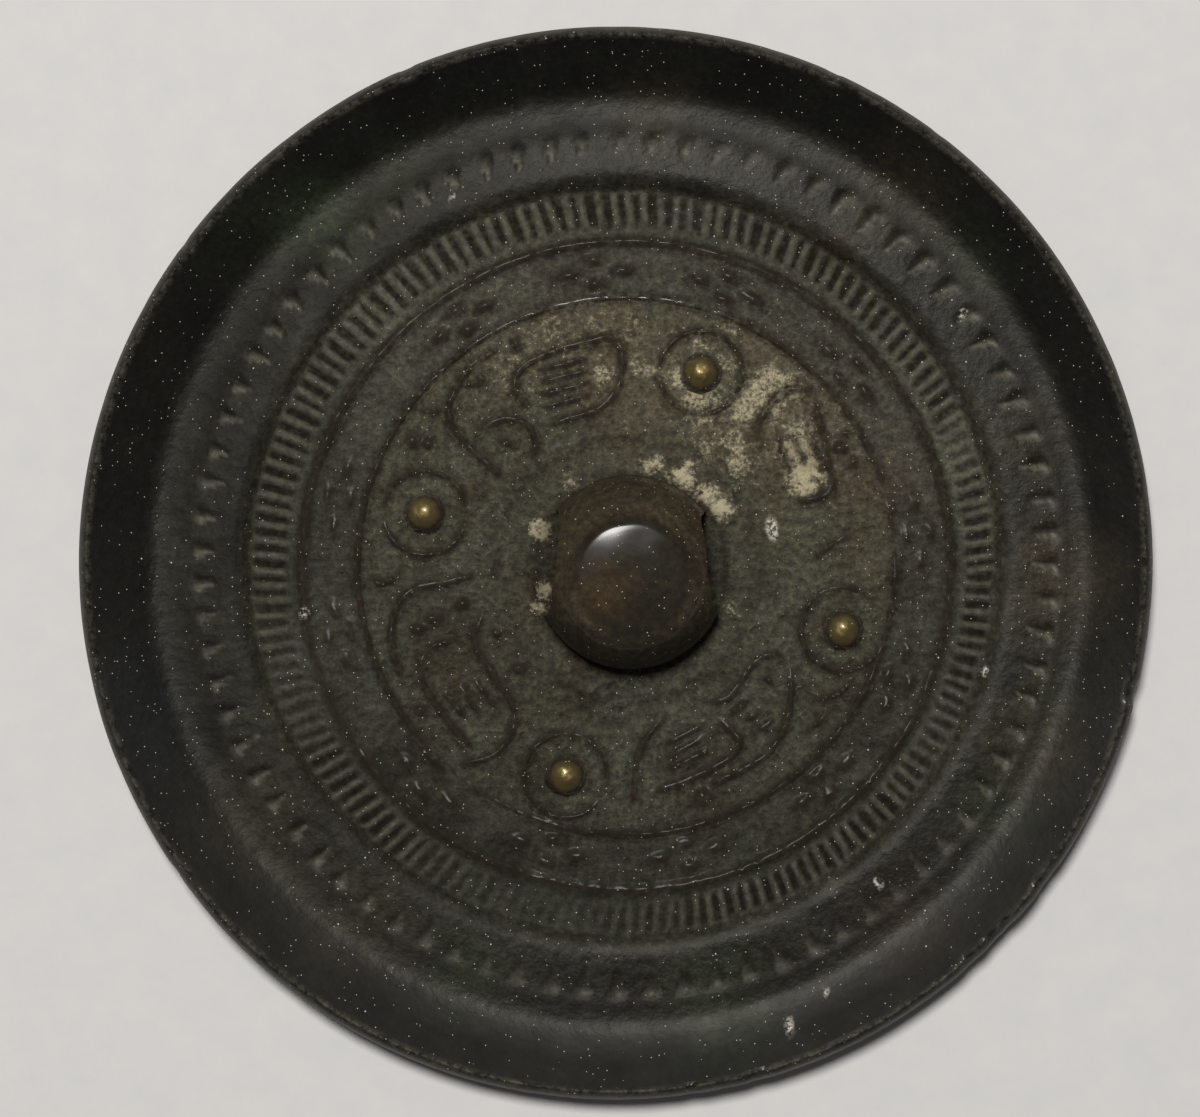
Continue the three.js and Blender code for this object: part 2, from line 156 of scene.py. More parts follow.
# The line-drawn birds and the marks round them: points of each line, then its width
FIGURE_LINES = [
    # Upper left: wing, neck, beak, eye bar and the hook below the head
    ([(-6.0, 13.0), (-3.5, 13.75), (-1.8, 14.3), (-0.7, 15.2), (0.2, 16.3), (0.62, 17.7), (0.62, 19.0),
      (0.4, 20.2), (-0.5, 21.05), (-1.8, 20.9), (-5.2, 20.0), (-8.2, 18.7), (-9.2, 17.7), (-9.4, 16.5),
      (-9.0, 15.5), (-8.0, 14.6)], 1.05),
    ([(-11.1, 19.9), (-13.5, 18.4), (-14.9, 16.3), (-15.6, 14.5), (-15.3, 13.0), (-14.6, 11.8),
      (-12.7, 9.9), (-10.7, 8.25)], 1.0),
    ([(-17.9, 14.1), (-16.9, 14.15), (-15.7, 14.25)], 0.75),
    ([(-14.1, 16.5), (-13.0, 16.6), (-12.0, 16.55)], 0.8),
    ([(-12.6, 12.5), (-10.5, 13.5), (-8.3, 12.9), (-7.4, 11.0), (-7.8, 10.0)], 1.0),
    # Upper right: back, breast and tail
    ([(18.5, 16.2), (17.2, 16.3), (16.0, 16.1), (15.0, 15.3), (14.25, 14.5), (13.7, 13.7), (13.3, 13.0),
      (13.25, 12.0), (13.5, 10.7)], 1.0),
    ([(18.6, 14.7), (19.4, 12.0), (19.8, 9.3), (20.2, 8.0), (20.1, 7.0), (19.5, 6.3), (16.8, 5.6)], 0.95),
    ([(20.6, 12.0), (21.5, 12.1), (22.3, 12.0)], 0.8),
    ([(18.7, 0.5), (20.2, 1.7), (21.8, 2.5)], 0.9),
    # Lower left: neck, both sides of the wing, tail and the arch by the ring
    ([(-13.3, -1.2), (-16.1, -1.85), (-18.9, -2.5), (-20.6, -4.5), (-20.9, -7.6), (-20.0, -10.8)], 1.0),
    ([(-15.1, -7.25), (-17.0, -7.75), (-18.2, -9.3), (-17.9, -11.3), (-16.1, -14.2), (-13.5, -17.3)], 1.0),
    ([(-12.4, -4.9), (-13.2, -7.4), (-11.6, -10.2), (-9.7, -13.0), (-9.6, -15.6), (-11.4, -17.9),
      (-14.5, -18.75)], 1.0),
    ([(-18.0, -17.6), (-17.0, -18.7), (-15.8, -19.6)], 0.8),
    ([(-22.9, -1.2), (-21.8, -2.0), (-20.1, -0.8)], 0.8),
    # Lower right: head and back, breast, the wing's two sides, beak and the marks by the ring
    ([(8.9, -13.0), (10.4, -12.6), (11.6, -11.2), (13.0, -9.3), (14.4, -8.6), (15.7, -8.9)], 1.0),
    ([(16.35, -10.0), (16.4, -12.2), (15.9, -14.8), (14.6, -17.4), (12.2, -19.1), (9.0, -20.6)], 1.0),
    ([(3.6, -21.35), (6.4, -20.4), (9.2, -19.1), (11.1, -17.8), (11.5, -16.4), (9.9, -14.8)], 1.0),
    ([(4.4, -14.7), (2.9, -16.3), (1.95, -18.6), (1.8, -21.0), (1.4, -22.6)], 1.0),
    ([(16.85, -11.9), (17.5, -11.5), (18.15, -11.7)], 0.7),
    ([(18.9, -12.5), (20.5, -12.4), (22.1, -11.0)], 0.8),
    ([(17.8, -15.8), (18.8, -15.0), (19.8, -13.9)], 0.8),
]

# Rows of short feather bars: first bar's start and run, step to the next, count
FEATHERS = [
    ((-7.1, 18.0), (4.3, 1.1), (0.1, -1.15), 4),
    ((15.2, 11.5), (1.15, -2.75), (1.35, 0.4), 3),
    ((-13.0, -11.2), (1.8, -2.3), (-1.45, -0.45), 3),
    ((4.8, -16.85), (3.5, 1.8), (0.1, -1.25), 3),
    ((10.9, -13.95), (1.6, 1.2), (1.05, -1.0), 3),
]

# Small lumps of the figures: place, half length, half width
FIGURE_PELLETS = [
    ((-10.1, 11.2), 0.95, 0.55), ((-9.3, 20.4), 0.7, 1.0), ((-18.9, 11.4), 0.85, 0.85),
    ((-17.5, 11.1), 0.6, 0.6), ((-12.6, 17.25), 0.5, 0.5), ((21.0, 10.7), 0.9, 0.65),
    ((22.2, 9.4), 0.6, 0.8), ((-14.3, -3.9), 0.8, 0.8), ((-11.2, -6.5), 0.7, 0.6),
    ((-9.0, -9.85), 0.9, 0.7), ((-18.2, -13.7), 0.7, 0.7), ((-17.0, -5.2), 1.1, 0.6),
    ((-18.4, -6.2), 0.9, 0.6), ((14.3, -10.95), 0.5, 0.5), ((8.3, -21.9), 1.2, 0.9),
]

# Soil left on the back: place, reach, how thick it lies
SOIL = [
    ((-6.9, 3.0), 1.5, 1.0), ((-6.8, -2.5), 1.4, 1.0), ((-7.2, -4.2), 1.2, 0.8),
    ((3.4, 9.2), 2.0, 0.7), ((6.3, 8.2), 2.3, 0.85), ((8.4, 6.6), 2.2, 0.9),
    ((9.8, 5.0), 2.0, 0.8), ((-4.2, 7.7), 1.8, 0.6), ((10.5, -4.2), 1.5, 0.45),
    ((10.7, -0.2), 1.4, 0.4), ((-9.2, -3.4), 1.2, 0.3), ((7.9, 15.2), 3.2, 0.75),
    ((6.0, 17.5), 2.2, 0.7), ((9.9, 18.7), 2.2, 0.6), ((8.2, 20.3), 2.0, 0.65),
    ((14.5, 16.0), 3.8, 0.8), ((12.0, 14.6), 3.4, 0.65), ((17.7, 8.0), 2.6, 0.9),
    ((17.0, 11.0), 2.9, 0.8), ((2.6, 18.6), 2.4, 0.55), ((-1.0, 17.6), 1.7, 0.75),
    ((-1.9, 19.3), 1.4, 0.5), ((10.4, 22.2), 2.6, 0.45), ((10.5, 10.0), 5.2, 0.6),
    ((22.5, 13.8), 2.2, 0.35), ((-18.8, 2.4), 1.8, 0.3), ((-4.7, -22.4), 1.9, 0.35),
    ((-10.2, 16.9), 1.6, 0.35), ((13.6, 24.6), 3.0, 0.35), ((-15.8, 23.2), 2.6, 0.3),
    ((20.0, -8.6), 2.2, 0.35), ((12.5, -32.4), 3.2, 0.3), ((-21.0, -26.5), 3.2, 0.2),
    ((12.0, 3.0), 3.4, 0.25), ((2.5, -22.0), 2.2, 0.25),
]

# Small light flecks: place, half length, half width, direction
FLECKS = [
    ((14.6, 3.2), 1.15, 0.55, 100), ((-29.1, -4.65), 0.6, 0.26, 60), ((34.4, -10.1), 0.45, 0.28, 70),
    ((16.2, -43.0), 0.6, 0.18, 100), ((24.4, -29.8), 0.5, 0.25, 150), ((32.4, 23.2), 0.55, 0.16, 70),
    ((19.5, -39.7), 0.4, 0.14, 95), ((-15.3, 34.1), 0.3, 0.15, 20),
]

# Chips in the lip: angle, half spread in degrees, depth
LIP_CHIPS = [
    (-44.0, 3.2, 0.35), (-48.0, 1.8, 0.25), (-36.0, 2.6, 0.22), (-14.0, 2.0, 0.3), (-74.5, 1.4, 0.16),
    (-82.0, 1.0, 0.14), (66.0, 1.2, 0.14), (113.0, 1.3, 0.16), (143.5, 1.0, 0.12), (53.0, 0.9, 0.1),
    (215.0, 1.6, 0.14), (232.0, 1.2, 0.1),
]

# Rings of points on the back, from the lip inwards: to this radius, step, points in a ring
BACK_ZONES = [
    (48.2, 0.3, 720), (43.9, 0.54, 480), (35.95, 0.43, 711), (31.0, 0.32, 980), (25.7, 0.29, 640),
    (18.9, 0.225, 640), (13.0, 0.225, 480), (8.0, 0.3, 320), (4.0, 0.5, 160), (0.8, 0.8, 80),
]
UNDERSIDE_RADII = [6.0, 14.0, REST_RADIUS, 26.0, 30.0, 34.0, 38.0, 42.0, 45.0, 47.5, 49.0]
UNDERSIDE_SIDES = 240
EDGE_SIDES = 720

# Colours as they look, from 0 to 255
RIM_COLOUR = (7, 7, 5)
EDGE_COLOUR = (46, 41, 33)
PLATEAU_COLOUR = (24, 22, 18)
COMB_COLOUR = (84, 83, 70)
BAND_COLOUR = (80, 75, 65)
FIELD_COLOUR = (100, 91, 74)
RIDGE_COLOUR = (33, 26, 18)
PALE_WEAR_AND_HIGHLIGHT_COLOUR = (112, 109, 96)
KNOB_COLOUR = (56, 48, 34)
KNOB_TOP_COLOUR = (31, 24, 13)
KNOB_GLOW = (60, 43, 17)
KNOB_SHEEN_COLOUR = (80, 70, 54)
UNDERSIDE_COLOUR = (60, 59, 52)
SOIL_COLOUR = (188, 177, 146)
STALE_SOIL_COLOUR = (119, 112, 92)
BRASS_COLOUR = (122, 106, 66)
DUST_COLOUR = (228, 222, 206)
SHADE_AND_DIRT_COLOUR = (18, 14, 10)
GREEN_TINGE = (38, 46, 29)
RED_TINGE = (58, 38, 27)
BLUE_TINGE = (10, 14, 17)
BROWN_TINGE = (60, 52, 38)
OLIVE_TINGE = (79, 81, 69)
FLECK_COLOUR = (226, 220, 204)
FLOOR_COLOUR = (222, 220, 217)
FLOOR_WEAVE_COLOUR = (205, 205, 206)

# How pale the inner back lies from south to north
NORTHING = (-34.0, -26.0, -18.0, -7.0, 5.0, 11.0, 17.0, 34.0)
PALENESS = (0.2, 0.28, 0.38, 0.38, 0.5, 0.6, 0.95, 0.6)

# Where the knob's top glows, where a painted reflection lies along the south edge of its top, and the
# rubbed line along the lip
GLOW_PLACE = (-1.0, -2.4)
GLOW_REACH = 4.6
KNOB_SHEEN_RADIUS = 5.6
KNOB_SHEEN_WIDTH = 0.8
RUBBED_LIP_RADIUS = 48.98
RUBBED_LIP_WIDTH = 0.28

# Surface
SPECULAR_LEVEL = 0.2
SPECULAR_TINT = (1.0, 0.97, 0.89)
COAT_ROUGHNESS = 0.17
SHARP_ANGLE = 48

# Light in metres and watts, and the view: the photo's width, its scale, and the point below the camera
LIGHT_PLACE = (-0.12, 0.37, 1.13)
LIGHT_WIDTH = 0.3
LIGHT_POWER = 12.8
LIGHT_COLOUR = (1.0, 0.99, 0.97)
ROOM_LIGHT = 0.07
PHOTO_WIDTH_PIXELS = 1200
MM_PER_PIXEL = 0.09306
VIEW_CENTRE = (-1.46, 0.42)
VIEW_DISTANCE = 350.0
SENSOR_WIDTH = 36.0
FLOOR_HALF_WIDTH = 900.0

# Broad tinges: place, reach, colour, strength
TINGES = [
    ((-27.0, 31.5), 7.5, GREEN_TINGE, 0.8), ((-20.0, 36.5), 5.0, GREEN_TINGE, 0.35),
    ((10.0, -40.5), 8.0, GREEN_TINGE, 0.6), ((-14.0, -38.0), 6.5, GREEN_TINGE, 0.5),
    ((11.0, -26.5), 4.0, GREEN_TINGE, 0.6), ((-8.5, 6.0), 4.5, GREEN_TINGE, 0.35),
    ((33.0, 28.0), 5.5, GREEN_TINGE, 0.35), ((40.0, -13.0), 5.0, GREEN_TINGE, 0.4),
    ((14.0, -3.0), 5.5, GREEN_TINGE, 0.3), ((35.0, -22.0), 6.5, GREEN_TINGE, 0.45),
    # The dark patch just south of the knob is a painted shadow of the knob.
    ((1.4, -12.3), 5.5, SHADE_AND_DIRT_COLOUR, 0.5),
    ((20.0, 28.5), 4.5, RED_TINGE, 0.6), ((8.0, -21.0), 8.0, RED_TINGE, 0.4),
    ((21.0, 10.8), 2.2, RED_TINGE, 0.7), ((-3.0, 14.5), 5.0, RED_TINGE, 0.35),
    ((20.0, -16.0), 6.0, RED_TINGE, 0.35), ((25.0, 7.0), 6.0, RED_TINGE, 0.3),
    ((26.0, -33.0), 7.0, RED_TINGE, 0.3), ((-44.0, -14.0), 10.0, BLUE_TINGE, 0.6),
    ((-36.0, 33.0), 6.0, GREEN_TINGE, 0.25), ((40.5, -2.0), 9.0, BROWN_TINGE, 0.75),
    ((39.0, -17.0), 8.0, BROWN_TINGE, 0.4), ((37.0, 12.0), 7.0, BROWN_TINGE, 0.35),
    ((-24.0, -33.0), 9.0, BROWN_TINGE, 0.3), ((-33.0, -24.0), 9.0, BROWN_TINGE, 0.35),
    ((26.0, 33.0), 8.0, BROWN_TINGE, 0.3), ((4.0, 41.0), 6.0, BROWN_TINGE, 0.3),
]


def lattice(across, along, seed):
    """A repeatable number from 0 to 1 for each whole place."""
    mixed = across.astype(np.int64) * 374761393 + along.astype(np.int64) * 668265263 + seed * 974634777
    mixed &= 0xFFFFFFFF
    mixed = ((mixed ^ (mixed >> 13)) * 1274126177) & 0xFFFFFFFF
    return ((mixed ^ (mixed >> 16)) & 0xFFFF) / 65535.0


def unevenness(x, y, size, seed):
    """Smooth noise from -1 to 1 whose lumps are about size across."""
    left, low = np.floor(x / size), np.floor(y / size)
    u, v = x / size - left, y / size - low
    u, v = u * u * (3 - 2 * u), v * v * (3 - 2 * v)
    near = lattice(left, low, seed) * (1 - v) + lattice(left, low + 1, seed) * v
    far = lattice(left + 1, low, seed) * (1 - v) + lattice(left + 1, low + 1, seed) * v
    return 2 * (near * (1 - u) + far * u) - 1


def clouds(x, y, size, seed):
    """Unevenness of three sizes together."""
    return (unevenness(x, y, size, seed) * 0.55 + unevenness(x, y, size * 0.47, seed + 7) * 0.3
            + unevenness(x, y, size * 0.21, seed + 13) * 0.2)


def swell(share):
    """1 in the middle of a rounded ridge, 0 from its edge outwards."""
    return 0.5 + 0.5 * np.cos(np.pi * np.clip(share, 0, 1))


def left_at(angle, wear):
    """Share of the height that is left at each angle, from a list of worn places."""
    left = np.ones_like(angle)
    for middle, spread, loss in wear:
        away = np.abs((angle - middle + 180) % 360 - 180) / spread
        left *= 1 - loss * swell(away)
    return left


def centre_at(radius):
    """The middle of the ring of that radius: the pattern lies a little off the outline's middle."""
    radii = (COMB_INNER_RADIUS, STEP_RADIUS, STEP_TOP_RADIUS, TOOTH_BASE_RADIUS, COVE_RADIUS,
             LIP_INNER_RADIUS)
    centres = (PATTERN_CENTRE, SHOULDER_CENTRE, SHOULDER_CENTRE, PATTERN_CENTRE, COVE_CENTRE, (0, 0))
    return [np.interp(radius, radii, [centre[axis] for centre in centres]) for axis in (0, 1)]


def ring_place(x, y):
    """The radius and angle, in degrees, of the ring that each point lies on."""
    radius = np.hypot(x, y)
    for _ in range(4):
        middle_x, middle_y = centre_at(radius)
        radius = np.hypot(x - middle_x, y - middle_y)
    return radius, np.degrees(np.arctan2(y - middle_y, x - middle_x)) % 360


def sharp_height(radius):
    """Height of the bare back, with sharp corners."""
    radii = (0, STEP_RADIUS, STEP_TOP_RADIUS, STEP_BEND[0], SHOULDER_RADIUS, PLATEAU_BEND[0],
             PLATEAU_FLAT_RADIUS, COVE_RADIUS, LIP_INNER_RADIUS)
    heights = (FIELD_TOP, FIELD_TOP, STEP_TOP, STEP_BEND[1], SHOULDER_TOP, PLATEAU_BEND[1],
               PLATEAU_TOP, PLATEAU_TOP, LIP_TOP - LIP_BEVEL)
    return np.interp(radius, radii, heights)


def plain_height(radius):
    """Height of the bare back, with its corners rounded, most of all at the foot of the cove."""
    roundings = (CORNER_ROUNDING, COVE_ROUNDING, COVE_ROUNDING, LIP_ROUNDING)
    rounding = np.interp(radius, (37.5, 41.5, 45.5, 47.5), roundings)
    offsets = np.linspace(-1, 1, 9)
    inside = [np.minimum(radius + offset * rounding, LIP_INNER_RADIUS) for offset in offsets]
    return sum(sharp_height(place) for place in inside) / len(offsets)


def smooth_path(points, spacing=0.3):
    """Close points along a smooth curve through the given ones."""
    points = np.array(points, float)
    padded = np.vstack([2 * points[0] - points[1], points, 2 * points[-1] - points[-2]])
    path = [points[0]]
    for before, start, end, after in zip(padded, padded[1:], padded[2:], padded[3:]):
        count = max(2, int(np.hypot(*(end - start)) / spacing))
        bend = 2 * before - 5 * start + 4 * end - after
        twist = 3 * start - before - 3 * end + after
        for step in range(1, count + 1):
            t = step / count
            path.append(0.5 * (2 * start + (end - before) * t + bend * t * t + twist * t ** 3))
    return np.array(path)


class Relief:
    """The raised work at many points of the back: its rise, its dark ridges, its pale tops with painted
    light on the teeth's lit walls, and its dark feet of dirt and painted shade.
    """

    def __init__(self, x, y):
        self.x, self.y = x, y
        self.radius, self.angle = ring_place(x, y)
        self.rise = np.zeros_like(x)
        self.ridge = np.zeros_like(x)
        self.pale_tops_and_lit_walls = np.zeros_like(x)
        self.foot = np.zeros_like(x)
        self.wobble = 1 + 0.16 * unevenness(x, y, 1.6, 3) + 0.1 * unevenness(x, y, 0.6, 5)

    def near(self, low, high, margin):
        """Numbers of the points inside a box with a margin round it."""
        inside = (self.x > low[0] - margin) & (self.x < high[0] + margin)
        inside &= (self.y > low[1] - margin) & (self.y < high[1] + margin)
        return np.nonzero(inside)[0]

    def lift(self, where, away, half, rise, left=1.0, dark=1.0):
        """Raises points by a rounded section; away is their distance from its middle line."""
        share = swell(away / (half * self.wobble[where])) * left
        skirt = swell(away / (half + SKIRT)) * left
        self.rise[where] = np.maximum(self.rise[where], rise * share)
        self.ridge[where] = np.maximum(self.ridge[where], np.clip(share * 2.4, 0, 1) * dark)
        # The skirt darkens the foot of each raised section: dirt and painted shade.
        self.foot[where] = np.maximum(self.foot[where], skirt * (0.3 + 0.7 * dark))

    def ring(self, radius, width, rise, wear=(), dark=1.0):
        half = width / 2 * RING_SPREAD
        where = np.nonzero(np.abs(self.radius - radius) < half + SKIRT)[0]
        angle = self.angle[where]
        patchy = np.clip(0.95 + 0.25 * unevenness(self.x[where], self.y[where], 2.4, 11), 0, 1)
        away = np.abs(self.radius[where] - radius)
        self.lift(where, away, half, rise, left_at(angle, wear) * patchy, dark)

    def line(self, points, width, rise):
        path = smooth_path(points)
        where = self.near(path.min(0), path.max(0), width + SKIRT)
        away = np.full(len(where), 99.0)
        along = np.zeros(len(where))
        walked = 0.0
        for start, end in zip(path, path[1:]):
            step = end - start
            length = math.hypot(*step)
            dx, dy = self.x[where] - start[0], self.y[where] - start[1]
            t = np.clip((dx * step[0] + dy * step[1]) / length ** 2, 0, 1)
            distance = np.hypot(dx - t * step[0], dy - t * step[1])
            along = np.where(distance < away, walked + t * length, along)
            away = np.minimum(away, distance)
            walked += length
        from_end = np.minimum(along, walked - along)
        left = 0.45 + 0.55 * np.clip(from_end / LINE_TAPER, 0, 1)
        left = left * np.clip(0.92 + 0.3 * unevenness(self.x[where], self.y[where], 1.9, 17), 0.4, 1)
        self.lift(where, away, width / 2 * LINE_SPREAD, rise, left)

    def pellet(self, place, half_length, half_width, turn, rise, left=1.0):
        where = self.near(place, place, half_length * 1.3 + SKIRT)
        dx, dy = self.x[where] - place[0], self.y[where] - place[1]
        along = dx * math.cos(turn) + dy * math.sin(turn)
        across = dy * math.cos(turn) - dx * math.sin(turn)
        away = np.hypot(along / half_length, across / half_width) * half_width
        self.lift(where, away, half_width * PELLET_SPREAD, rise, left)

    def nipple(self, place, wear):
        where = self.near(place, place, NIPPLE_CIRCLE["radius"] + 2)
        dx, dy = self.x[where] - place[0], self.y[where] - place[1]
        away = np.hypot(dx, dy)
        circle = np.abs(away - NIPPLE_CIRCLE["radius"])
        angle = np.degrees(np.arctan2(dy, dx)) % 360
        half = NIPPLE_CIRCLE["width"] / 2 * RING_SPREAD
        self.lift(where, circle, half, NIPPLE_CIRCLE["rise"], left_at(angle, wear))
        share = np.clip(1 - (away / NIPPLE_RADIUS) ** 2, 0, 1) ** 0.62
        self.rise[where] = np.maximum(self.rise[where], NIPPLE_RISE * share)
        # A dark foot round the nipple: dirt and painted shade.
        self.foot[where] = np.maximum(self.foot[where], swell(away / (NIPPLE_RADIUS + SKIRT * 2)))

    def comb(self):
        inside = (self.radius > COMB_INNER_RADIUS - 0.6) & (self.radius < COMB_OUTER_RADIUS + 0.6)
        where = np.nonzero(inside)[0]
        pitch = 360 / COMB_COUNT
        angle, radius = self.angle[where], self.radius[where]
        worn = left_at(angle, COMB_WEAR)
        angle = angle + COMB_CROWDING * np.sin(np.radians(angle - COMB_CROWDED_ANGLE))
        stroke = np.round(angle / pitch)
        jitter = lattice(stroke % COMB_COUNT, stroke * 0, 23) - 0.5
        lean = lattice(stroke % COMB_COUNT, stroke * 0, 29) - 0.5
        middle = (stroke + 0.16 * jitter + 0.06 * lean * (radius - 33)) * pitch
        away = np.abs(np.radians(angle - middle)) * radius
        inner = np.clip((radius - COMB_INNER_RADIUS - 0.3 * jitter) / 0.45, 0, 1)
        outer = np.clip((COMB_OUTER_RADIUS + 0.3 * lean - radius) / 0.45, 0, 1)
        left = worn * (0.85 + 0.5 * jitter) * inner * outer
        patchy = 0.85 + 0.35 * unevenness(self.x[where], self.y[where], 3.1, 31)
        patchy = np.clip(patchy + 0.3 * unevenness(self.x[where], self.y[where], 0.9, 32), 0.15, 1)
        left = np.clip(left * patchy, 0, 1)
        self.lift(where, away, COMB_WIDTH / 2, COMB_RISE, left, 0.0)
        self.pale_tops_and_lit_walls[where] = np.maximum(self.pale_tops_and_lit_walls[where], swell(away / COMB_WIDTH * 2) * left)
        # Dark gaps between the strokes: dirt and painted shade.
        gap = np.clip((away - 0.27) / 0.15, 0, 1) * inner * outer
        self.foot[where] = np.maximum(self.foot[where], gap * worn)

    def sawteeth(self):
        where = np.nonzero(np.abs(self.radius - TOOTH_BASE_RADIUS + TOOTH_LENGTH / 2) < TOOTH_LENGTH)[0]
        pitch = 360 / TOOTH_COUNT
        angle, radius = self.angle[where], self.radius[where]
        tooth = np.round(angle / pitch)
        jitter = lattice(tooth % TOOTH_COUNT, tooth * 0, 37) - 0.5
        other = lattice(tooth % TOOTH_COUNT, tooth * 0, 41) - 0.5
        across = np.radians(angle - (tooth + 0.12 * jitter) * pitch) * radius
        inward = TOOTH_BASE_RADIUS + 0.25 * other - radius
        left = np.clip(left_at(angle, TOOTH_WEAR) * (0.9 + 0.35 * jitter), 0, 1)
        share = np.clip(1 - inward / (TOOTH_LENGTH * (0.9 + 0.25 * other)), 0, 1)
        reach = np.maximum(TOOTH_HALF_WIDTH * share, 0.05)
        valley = np.clip(1 - np.abs(across) / reach, 0, 1)
        wall = np.clip((inward + TOOTH_WALL) / TOOTH_WALL, 0, 1) * (share > 0)
        sunk = np.minimum(valley / (1 - TOOTH_VALLEY), 1) * wall * (0.3 + 0.7 * share) * left
        self.rise[where] -= TOOTH_DEPTH * sunk
        # Painted light and shade on the sunk teeth: the wall that faces the lamp in the north is made
        # paler, and the wall turned away is made darker.
        turn = np.radians(angle)
        lit = 0.5 + 1.5 * across / reach * -np.cos(turn) - 1.2 * np.sin(turn) * (share - 0.75)
        lit = np.clip(lit, 0, 1)
        inside = np.clip(valley * 5, 0, 1) * wall * (0.3 + 0.7 * left)
        self.pale_tops_and_lit_walls[where] = np.maximum(self.pale_tops_and_lit_walls[where], inside * lit)
        self.foot[where] = np.maximum(self.foot[where], inside * (1 - lit) * 0.6)

    def clusters(self):
        slant = CLUSTER_HALF_LENGTH / CLUSTER_RADIUS
        spots = ((CLUSTER_HALF_HEIGHT, 0), (-CLUSTER_HALF_HEIGHT, 0), (0, slant), (0, -slant))
        for degrees, left in CLUSTERS.items():
            for out, turn in spots:
                angle = math.radians(degrees) + turn
                radius = CLUSTER_RADIUS + out
                place = (PATTERN_CENTRE[0] + radius * math.cos(angle),
                         PATTERN_CENTRE[1] + radius * math.sin(angle))
                self.pellet(place, *PELLET_HALF, angle + math.pi / 2, PELLET_RISE, left)

    def figures(self):
        for points, width in FIGURE_LINES:
            self.line(points, width, LINE_RISE)
        for start, run, step, count in FEATHERS:
            for i in range(count):
                first = (start[0] + step[0] * i, start[1] + step[1] * i)
                middle = (first[0] + run[0] / 2, first[1] + run[1] / 2)
                last = (first[0] + run[0], first[1] + run[1])
                self.line([first, middle, last], FEATHER_WIDTH, FEATHER_RISE)
        for place, half_length, half_width in FIGURE_PELLETS:
            self.pellet(place, half_length, half_width, 0, LINE_RISE)

    def gather(self):
        """Lays on all the raised and sunk work."""
        self.ring(**OUTER_RING, wear=OUTER_RING_WEAR)
        self.ring(**INNER_RING, wear=INNER_RING_WEAR)
        self.ring(**KNOB_RING)
        self.ring(**EDGE_RING)
        self.comb()
        self.sawteeth()
        self.clusters()
        self.figures()
        for place, wear in NIPPLES:
            self.nipple(place, wear)
        return self


def soil_at(x, y):
    """How much soil lies at each point, from 0 to 1."""
    soil = np.zeros_like(x)
    for (sx, sy), reach, amount in SOIL:
        away = np.hypot(x - sx, y - sy) / reach * (1 + 0.35 * clouds(x, y, 1.3, 43))
        soil = np.maximum(soil, amount * swell(away * 0.8) ** 0.7)
    return soil


def back_height(x, y, relief):
    """Height of the back at each point, with all that is raised on it."""
    radius = relief.radius
    inside = np.clip((STEP_RADIUS - radius) / 0.5, 0, 1)
    soil = soil_at(x, y)
    grain = (0.07 * clouds(x, y, 1.3, 47) + 0.04 * unevenness(x, y, 0.5, 49)) * (0.12 + 0.88 * inside)
    grain += 0.03 * unevenness(x, y, 5.0, 53)
    lumps = soil * (0.1 + 0.12 * np.clip(unevenness(x, y, 0.55, 59), 0, 1))
    knob_away = np.hypot(x - KNOB_CENTRE[0], y - KNOB_CENTRE[1]) - KNOB_RADIUS
    fillet = FILLET_RISE * np.exp(-np.clip(knob_away, 0, None) / FILLET_WIDTH) * (1 + 0.6 * soil)
    fillet = fillet * np.clip((np.abs(y - HOLE_CENTRE_Y) - HOLE_HALF_WIDTH + 0.4) / 0.8, 0, 1)
    fade = np.clip((LIP_INNER_RADIUS - radius) / 1.0, 0, 1)
    return plain_height(radius) + relief.rise + (grain + lumps) * fade + fillet


def lip_loss(angle):
    """How much the lip has lost at each angle, in millimetres."""
    loss = 0.03 * np.clip(unevenness(angle, angle * 0, 2.2, 61), 0, 1)
    for middle, spread, depth in LIP_CHIPS:
        away = np.abs((angle - middle + 180) % 360 - 180) / spread
        ragged = 0.7 + 0.3 * unevenness(angle, angle * 0, 0.7, 67)
        loss = np.maximum(loss, depth * np.clip(1.6 * swell(away), 0, 1) * ragged)
    return loss


def circle(radius, height, sides, centre=(0.0, 0.0)):
    """One ring of points, with its height the same all round or given for each point."""
    turn = np.arange(sides) * 2 * math.pi / sides
    heights = np.broadcast_to(height, (sides,))
    return np.column_stack([centre[0] + radius * np.cos(turn), centre[1] + radius * np.sin(turn), heights])


def underside_rings():
    """The convex face with its flat spot, from the middle outwards."""
    rings = []
    for radius in UNDERSIDE_RADII:
        share = max(0.0, radius - REST_RADIUS) / (BOTTOM_EDGE_RADIUS - REST_RADIUS)
        rings.append(circle(radius, FACE_RISE * share ** 2, UNDERSIDE_SIDES))
    return rings


def edge_rings():
    """The rounded outer flank and the thin lip, with its chips."""
    angle = np.arange(EDGE_SIDES) * 360 / EDGE_SIDES
    loss = lip_loss(angle)
    sway = 0.05 * unevenness(angle, angle * 0, 9.0, 71)
    # Radius, height, and how fully the chips and the sway act there
    profile = [
        (BOTTOM_EDGE_RADIUS, FACE_RISE, 0.0), (49.72, 1.35, 0.2), (49.93, 2.4, 0.5),
        (DISC_RADIUS - 0.05, FLANK_TOP, 0.8), (49.82, 4.2, 1.0), (49.5, 4.85, 1.0),
        (LIP_OUTER_RADIUS, LIP_TOP - LIP_BEVEL, 1.0),
        ((LIP_OUTER_RADIUS + LIP_INNER_RADIUS) / 2, LIP_TOP, 1.0),
        (LIP_INNER_RADIUS, LIP_TOP - LIP_BEVEL, 1.0),
    ]
    rings = []
    for radius, height, share in profile:
        lowered = loss * np.clip((height - FLANK_TOP) / (LIP_TOP - FLANK_TOP), 0, 1)
        inward = loss * 0.9 * share if radius > LIP_OUTER_RADIUS - 0.3 else -loss * 0.8
        rings.append(circle(radius + sway * share - inward, height - lowered, EDGE_SIDES))
    return rings


